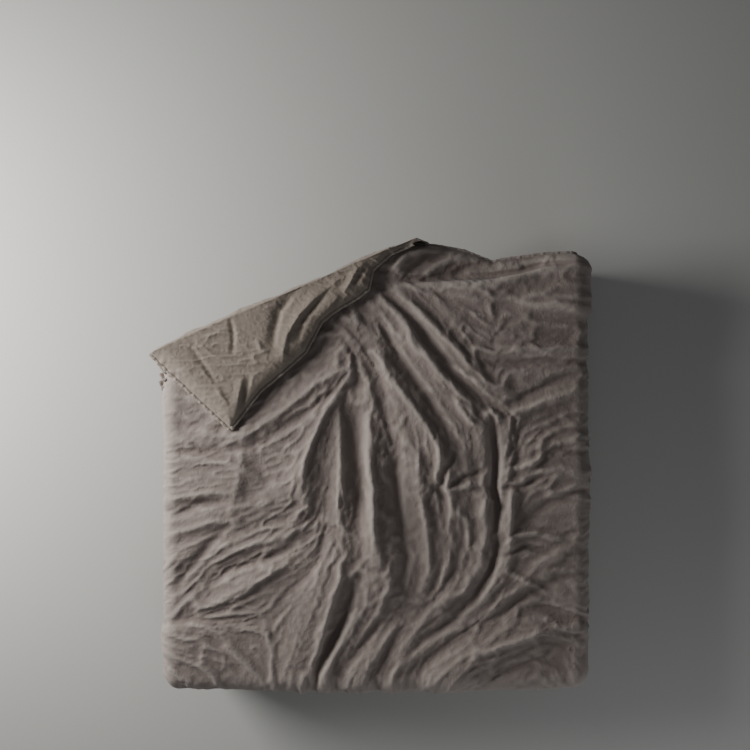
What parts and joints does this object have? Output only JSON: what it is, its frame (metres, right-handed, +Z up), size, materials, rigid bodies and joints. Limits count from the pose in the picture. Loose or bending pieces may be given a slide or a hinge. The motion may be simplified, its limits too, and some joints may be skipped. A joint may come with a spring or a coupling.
{
  "type": "duvet on a bed",
  "caption": "Double duvet in a washed cotton cover, spread over a mattress with its sides and foot hanging and one head corner turned back.",
  "frame": {"origin": "centre of the top of the mattress that carries the duvet, on the underside of the cover's reverse panel", "axes": "+Z up off the mattress, +Y along the bed towards the head, +X to the right seen from the foot of the bed; the turned corner is at the head on the -X side"},
  "size_m": [1.7259, 1.7894, 0.3873],
  "materials": {
    "face_cotton": "washed cotton, mauve-taupe, dull",
    "reverse_cotton": "washed cotton, khaki-beige, dull",
    "insert_shell": "downproof cotton, unbleached",
    "tie_tape": "woven cotton tape",
    "button": "moulded, four thread holes"
  },
  "bodies": {
    "spread_duvet": {"cover_face": "face_cotton", "cover_reverse": "reverse_cotton", "seam_left": "face_cotton", "seam_right": "face_cotton", "seam_head": "face_cotton", "placket_back": "reverse_cotton", "placket_face": "face_cotton", "button_1": "button", "button_2": "button", "button_3": "button", "button_4": "button", "button_5": "button", "button_6": "button", "button_7": "button", "button_8": "button", "pocket_row1_column1": "insert_shell", "pocket_row2_column1": "insert_shell", "pocket_row3_column1": "insert_shell", "pocket_row4_column1": "insert_shell", "pocket_row1_column2": "insert_shell", "pocket_row2_column2": "insert_shell", "pocket_row3_column2": "insert_shell", "pocket_row4_column2": "insert_shell", "pocket_row5_column2": "insert_shell", "pocket_row1_column3": "insert_shell", "pocket_row2_column3": "insert_shell", "pocket_row3_column3": "insert_shell", "pocket_row4_column3": "insert_shell", "pocket_row5_column3": "insert_shell", "pocket_row1_column4": "insert_shell", "pocket_row2_column4": "insert_shell", "pocket_row3_column4": "insert_shell", "pocket_row4_column4": "insert_shell", "pocket_row5_column4": "insert_shell", "pocket_row1_column5": "insert_shell", "pocket_row2_column5": "insert_shell", "pocket_row3_column5": "insert_shell", "pocket_row4_column5": "insert_shell", "pocket_row5_column5": "insert_shell", "corner_tie_head_right": "tie_tape", "insert_tab_head_right": "tie_tape", "corner_tie_foot_right": "tie_tape", "insert_tab_foot_right": "tie_tape", "corner_tie_foot_left": "tie_tape", "insert_tab_foot_left": "tie_tape", "fold_roll": "reverse_cotton"},
    "turned_corner": {"corner_cover_face": "face_cotton", "corner_cover_reverse": "reverse_cotton", "corner_seam_side": "face_cotton", "corner_seam_head": "face_cotton", "corner_pocket_1": "insert_shell", "corner_pocket_2": "insert_shell", "corner_pocket_3": "insert_shell", "corner_tie_turned": "tie_tape", "insert_tab_turned": "tie_tape"}
  },
  "joints": [
    {"name": "corner_turn", "type": "hinge", "parent": "spread_duvet", "child": "turned_corner", "pos_m": [-0.86, 0.272, 0.06], "axis": [-0.9178, -0.3971, 0], "range_deg": [0, 180], "deforming": ["fold_roll"]}
  ]
}
